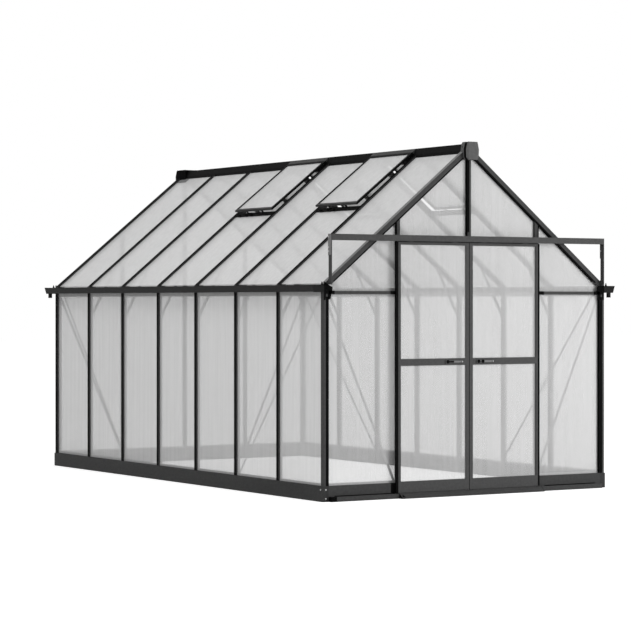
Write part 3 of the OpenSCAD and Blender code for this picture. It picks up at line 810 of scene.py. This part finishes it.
# bolts inside the wall posts and on the header's ends
frameBolt = {
    "size": 0.0048,
    "fromEnds": 0.030,          # above the base and below the eave
    "plateHeights": (-0.078, -0.050, 0.022),     # from the header's underside
    "plateIn": 0.034,           # behind the header's face
    "innerHeight": -0.050,
    "innerIn": 0.037,
    "innerDeep": 0.0065,        # behind the plate
}
bm = bmesh.new()
for side in (-1, 1):
    for y in lines[1:-1]:
        for z in (baseTop + frameBolt["fromEnds"], eaveZ - frameBolt["fromEnds"]):
            addBolt(bm, (side * -wallHigh.x, y, z), (-side, 0, 0), frameBolt["size"])
    for height in frameBolt["plateHeights"]:
        addBolt(bm, (side * strutX, headLow.y + frameBolt["plateIn"], headLow.z + height),
                (side, 0, 0), frameBolt["size"])
    if side > 0:
        addBolt(bm, (strutX - frameBolt["innerDeep"], headLow.y + frameBolt["innerIn"],
                     headLow.z + frameBolt["innerHeight"]), (-1, 0, 0), frameBolt["size"])
finishPiece(bm, "frame_bolts", coats["zinc"], "building")
print("header and bolts made")

# trim that rides on each door: edge seals, glazing beads and the latch
door = {
    "edge": 0.015,              # dark strip down the outer edge of the face
    "proud": 0.0006,
    "outerSeal": 0.0008,        # on the outer edge's side
    "outerIn": 0.001,           # from the frame's front and back
    "meetSeal": 0.0021,         # on the edge where the doors meet
    "meetIn": 0.002,
    "sealUp": 0.028,            # foot of all three
    "stile": 0.028,
    "bead": 0.010,
    "beadIn": 0.002,
    "midHalf": 0.0245,          # half the middle rail's height
}
latch = {
    "cover": 0.0125,            # round cover at one end of the handle
    "coverThick": 0.0022,
    "coverIn": 0.011,
    "link": 0.056,              # flat bar of the left door's latch
    "linkHigh": 0.0105,
    "linkIn": 0.001,
    "barIn": 0.002,             # thin bar of the right door's latch
    "barHalf": 0.003,
    "deep": 0.006,              # both end here, behind the handle's face
    "second": 0.040,            # to the right door's second cover
    "secondIn": 0.004,
    "secondThick": 0.0030,
    "tip": 0.0036,
    "tipIn": 0.007,
    "roundSides": 28,
}
forward = (0, -1, 0)
for name, outward in (("left_door", -1), ("right_door", 1)):
    frameLow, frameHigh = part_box(name + "_frame")
    paneLow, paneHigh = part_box(name + "_panes")
    handleLow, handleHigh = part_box(name + "_handle")
    edge = frameLow.x if outward < 0 else frameHigh.x
    meet = frameHigh.x if outward < 0 else frameLow.x
    bottom = frameLow.z + door["sealUp"]

    bm = bmesh.new()
    x0, x1 = sorted((edge, edge - outward * door["edge"]))
    addBlock(bm, (x0, frameLow.y - door["proud"], bottom), (x1, frameLow.y, frameHigh.z), None, 0)
    x0, x1 = sorted((edge, edge + outward * door["outerSeal"]))
    addBlock(bm, (x0, frameLow.y + door["outerIn"], bottom),
             (x1, frameHigh.y - door["outerIn"], frameHigh.z), None, 0)
    x0, x1 = sorted((meet, meet - outward * door["meetSeal"]))
    addBlock(bm, (x0, frameLow.y + door["meetIn"], bottom),
             (x1, frameHigh.y - door["meetIn"], frameHigh.z), None, 0)
    finishPiece(bm, name + "_edge_seals", coats["rubber"], name)

    bm = bmesh.new()
    x0, x1 = sorted((edge - outward * door["stile"], edge - outward * (door["stile"] + door["bead"])))
    midZ = (handleLow.z + handleHigh.z) / 2
    for z0, z1 in ((paneLow.z, midZ - door["midHalf"]), (midZ + door["midHalf"], paneHigh.z)):
        addBlock(bm, (x0, frameLow.y + door["beadIn"], z0), (x1, paneLow.y, z1))
    finishPiece(bm, name + "_beads", coats["frame"], name)

    bm = bmesh.new()
    boss = handleLow.x + latch["coverIn"]
    face = handleLow.y
    addStud(bm, (boss, face, midZ), forward, latch["cover"], latch["coverThick"], latch["roundSides"])
    if outward < 0:
        addBlock(bm, (boss, face + latch["linkIn"], midZ - latch["linkHigh"] / 2),
                 (boss + latch["link"], face + latch["deep"], midZ + latch["linkHigh"] / 2))
    else:
        addStud(bm, (boss + latch["second"], face + latch["secondIn"], midZ), forward,
                latch["cover"], latch["secondThick"], latch["roundSides"])
        addBlock(bm, (boss, face + latch["barIn"], midZ - latch["barHalf"]),
                 (boss + latch["second"], face + latch["deep"], midZ + latch["barHalf"]))
    finishPiece(bm, name + "_latch_covers", coats["rubber"], name)

    bm = bmesh.new()
    addStud(bm, (handleHigh.x - latch["tipIn"], face, midZ), forward, latch["tip"], latch["coverThick"])
    finishPiece(bm, name + "_latch_tips", coats["zinc"], name)
print("doors trimmed")

# a white studio: even light, a pale floor that catches a soft shadow, three soft lamps
studio = {
    "fill": 0.49,               # even light from all round
    "floorShade": 0.80,
    "floorLift": 0.62,          # keeps open floor white and lets the shadow show softly
    "floorSize": 60.0,
    "floorDrop": 0.001,         # below the base, so that the two don't flicker
}
lamps = {
    "gableLamp": {"place": (3.8, -8.0, 2.8), "aim": (0.3, -2.1, 1.0), "size": 3.2, "power": 375},
    "roofLamp": {"place": (-5.0, -1.0, 8.0), "aim": (-0.6, 0.0, 2.0), "size": 4.0, "power": 130},
    "sideLamp": {"place": (-6.4, -6.0, 2.2), "aim": (-1.2, -1.0, 0.8), "size": 2.6, "power": 45},
}


def seenDirectly(tree):
    # 1 where the eye, a reflection or a clear sheet looks at the surface
    path = tree.nodes.new("ShaderNodeLightPath")
    first = tree.nodes.new("ShaderNodeMath")
    first.operation = "MAXIMUM"
    tree.links.new(path.outputs["Is Camera Ray"], first.inputs[0])
    tree.links.new(path.outputs["Is Glossy Ray"], first.inputs[1])
    both = tree.nodes.new("ShaderNodeMath")
    both.operation = "MAXIMUM"
    tree.links.new(first.outputs["Value"], both.inputs[0])
    tree.links.new(path.outputs["Is Transmission Ray"], both.inputs[1])
    return both.outputs["Value"]


world = bpy.data.worlds.new("studioWorld")
scene.world = world
world.use_nodes = True
worldTree = world.node_tree
worldTree.nodes.clear()
worldOut = worldTree.nodes.new("ShaderNodeOutputWorld")
glow = worldTree.nodes.new("ShaderNodeBackground")
glow.inputs["Color"].default_value = (1, 1, 1, 1)
level = worldTree.nodes.new("ShaderNodeMapRange")
level.inputs["To Min"].default_value = studio["fill"]
level.inputs["To Max"].default_value = 1.0
worldTree.links.new(seenDirectly(worldTree), level.inputs["Value"])
worldTree.links.new(level.outputs["Result"], glow.inputs["Strength"])
worldTree.links.new(glow.outputs["Background"], worldOut.inputs["Surface"])

for name, lamp in lamps.items():
    light = bpy.data.lights.new(name, "AREA")
    light.shape = "DISK"
    light.size = lamp["size"]
    light.energy = lamp["power"]
    stand = bpy.data.objects.new(name, light)
    stand.location = lamp["place"]
    away = Vector(lamp["place"]) - Vector(lamp["aim"])
    stand.rotation_euler = away.to_track_quat("Z", "Y").to_euler()
    stand.visible_camera = False
    stand.visible_glossy = False
    scene.collection.objects.link(stand)

floorMaterial = bpy.data.materials.new("studioFloor")
floorMaterial.use_nodes = True
floorTree = floorMaterial.node_tree
floorTree.nodes.clear()
floorOut = floorTree.nodes.new("ShaderNodeOutputMaterial")
matt = floorTree.nodes.new("ShaderNodeBsdfDiffuse")
matt.inputs["Color"].default_value = (*grey(studio["floorShade"]), 1)
lift = floorTree.nodes.new("ShaderNodeEmission")
lift.inputs["Color"].default_value = (1, 1, 1, 1)
lifted = floorTree.nodes.new("ShaderNodeMath")
lifted.operation = "MULTIPLY"
lifted.inputs[1].default_value = studio["floorLift"]
floorTree.links.new(seenDirectly(floorTree), lifted.inputs[0])
floorTree.links.new(lifted.outputs["Value"], lift.inputs["Strength"])
joined = floorTree.nodes.new("ShaderNodeAddShader")
floorTree.links.new(matt.outputs["BSDF"], joined.inputs[0])
floorTree.links.new(lift.outputs["Emission"], joined.inputs[1])
floorTree.links.new(joined.outputs["Shader"], floorOut.inputs["Surface"])

floorMesh = bpy.data.meshes.new("studioFloor")
floorBm = bmesh.new()
bmesh.ops.create_grid(floorBm, x_segments=1, y_segments=1, size=studio["floorSize"])
floorBm.to_mesh(floorMesh)
floorBm.free()
floorMesh.materials.append(floorMaterial)
floor = bpy.data.objects.new("studioFloor", floorMesh)
floor.location.z = -studio["floorDrop"]
scene.collection.objects.link(floor)

# one level view from the front left, 1.4 m up
view = {"lens": 134.0, "sensor": 36.0, "place": (-9.8452, -15.9616, 1.3889),
        "turn": math.radians(-31.7205), "rise": -0.0217, "reach": 200.0}
lens = bpy.data.cameras.new("mainCamera")
lens.sensor_fit = "HORIZONTAL"
lens.sensor_width = view["sensor"]
lens.lens = view["lens"]
lens.shift_y = view["rise"]
lens.clip_end = view["reach"]
camera = bpy.data.objects.new("mainCamera", lens)
camera.location = view["place"]
camera.rotation_euler = (math.radians(90), 0, view["turn"])
scene.collection.objects.link(camera)
scene.camera = camera
print("studio and camera set")
